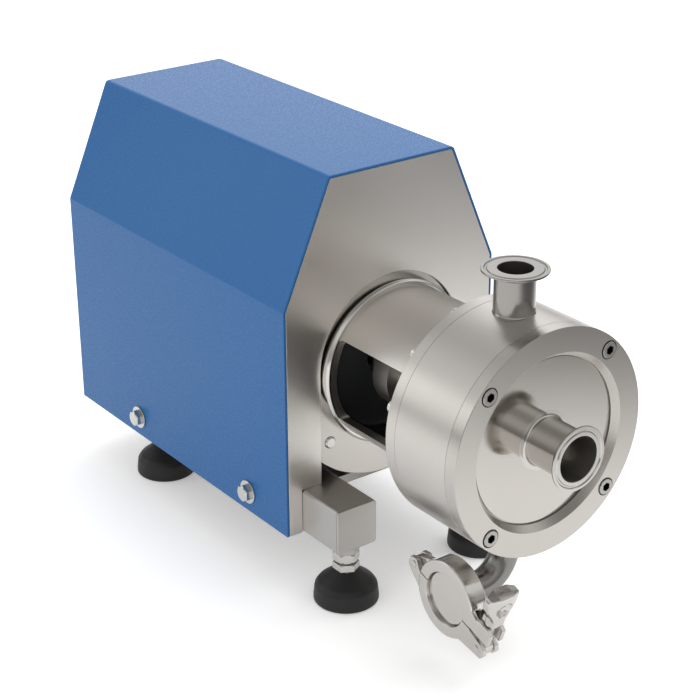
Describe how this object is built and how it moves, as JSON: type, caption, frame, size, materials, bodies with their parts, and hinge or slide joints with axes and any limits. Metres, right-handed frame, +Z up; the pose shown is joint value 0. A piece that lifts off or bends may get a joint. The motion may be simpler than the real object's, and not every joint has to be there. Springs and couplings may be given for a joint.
{
  "type": "inline high shear mixer",
  "caption": "Inline high shear mixer: motor under a faceted blue cover, lantern and round stainless pump head with clamp ferrules and capped drain, on levelling feet.",
  "frame": {"origin": "on the floor, at the centre of the whole mixer's outline seen from above", "axes": "+Z up, inlet faces -Y, outlet faces +Z, motor towards +Y, +X right seen from the front"},
  "size_m": [0.2218, 0.576, 0.346],
  "materials": {
    "blue_paint": "satin blue paint",
    "brushed_stainless": "brushed",
    "polished_stainless": "polished",
    "plated_steel": "bright plated",
    "black_moulding": "matt black",
    "cast_aluminium": "cast, grey",
    "grey_sheet": "grey paint",
    "bearing_steel": "ground",
    "black_rubber": "matt",
    "seal_carbide": "lapped"
  },
  "bodies": {
    "machine": {"motor_cover": "blue_paint", "front_panel": "brushed_stainless", "rear_panel": "brushed_stainless", "base_rail_left": "brushed_stainless", "base_rail_right": "brushed_stainless", "rail_end_caps": "brushed_stainless", "cross_members": "brushed_stainless", "cover_standoffs": "brushed_stainless", "lantern": "brushed_stainless", "chamber_body": "brushed_stainless", "front_cover": "brushed_stainless", "seal_plate": "brushed_stainless", "inlet_ferrule": "polished_stainless", "outlet_ferrule": "polished_stainless", "drain_elbow": "polished_stainless", "drain_cap": "polished_stainless", "clamp_lower_half": "polished_stainless", "clamp_upper_half": "polished_stainless", "clamp_pins": "polished_stainless", "stator_ring": "polished_stainless", "cover_bolts": "plated_steel", "cover_washers": "plated_steel", "cover_screws": "plated_steel", "lantern_screws": "plated_steel", "flange_bolts": "plated_steel", "motor_foot_bolts": "plated_steel", "foot_lock_nuts": "plated_steel", "cable_gland": "black_moulding", "terminal_lid": "black_moulding", "motor_housing": "cast_aluminium", "motor_flange": "cast_aluminium", "motor_rear_shield": "cast_aluminium", "terminal_box": "cast_aluminium", "fan_cowl": "grey_sheet", "bearing_outer_rings": "bearing_steel", "motor_stator": "bearing_steel", "front_o_ring": "black_rubber", "drain_gasket": "black_rubber", "seal_seat": "seal_carbide"},
    "rotor": {"motor_shaft": "bearing_steel", "motor_rotor": "bearing_steel", "bearing_inner_rings": "bearing_steel", "cooling_fan": "black_moulding", "pump_shaft": "brushed_stainless", "shaft_clamp": "brushed_stainless", "rotor_head": "polished_stainless", "rotor_nut": "polished_stainless", "seal_ring": "seal_carbide", "seal_bellows": "black_rubber"},
    "swing_bolt": {"swing_bolt": "polished_stainless"},
    "wing_nut": {"wing_nut": "polished_stainless"},
    "foot_front_left": {"foot_pad_front_left": "black_moulding", "foot_stud_front_left": "plated_steel"},
    "foot_front_right": {"foot_pad_front_right": "black_moulding", "foot_stud_front_right": "plated_steel"},
    "foot_rear_left": {"foot_pad_rear_left": "black_moulding", "foot_stud_rear_left": "plated_steel"},
    "foot_rear_right": {"foot_pad_rear_right": "black_moulding", "foot_stud_rear_right": "plated_steel"}
  },
  "joints": [
    {"name": "rotor_spin", "type": "hinge", "parent": "machine", "child": "rotor", "pos_m": [0, -0.258, 0.18], "axis": [0, 1, 0], "continuous": true},
    {"name": "swing_bolt_hinge", "type": "hinge", "parent": "machine", "child": "swing_bolt", "pos_m": [-0.052, -0.25097, 0.0249], "axis": [1, 0, 0], "range_deg": [0, 80]},
    {"name": "wing_nut_turn", "type": "hinge", "parent": "swing_bolt", "child": "wing_nut", "pos_m": [-0.052, -0.25097, 0.0249], "axis": [0, -0.342, 0.9397], "continuous": true},
    {"name": "foot_front_left_height", "type": "slide", "parent": "machine", "child": "foot_front_left", "axis": [0, 0, -1], "range_m": [0, 0.015]},
    {"name": "foot_front_right_height", "type": "slide", "parent": "machine", "child": "foot_front_right", "axis": [0, 0, -1], "range_m": [0, 0.015]},
    {"name": "foot_rear_left_height", "type": "slide", "parent": "machine", "child": "foot_rear_left", "axis": [0, 0, -1], "range_m": [0, 0.015]},
    {"name": "foot_rear_right_height", "type": "slide", "parent": "machine", "child": "foot_rear_right", "axis": [0, 0, -1], "range_m": [0, 0.015]}
  ]
}
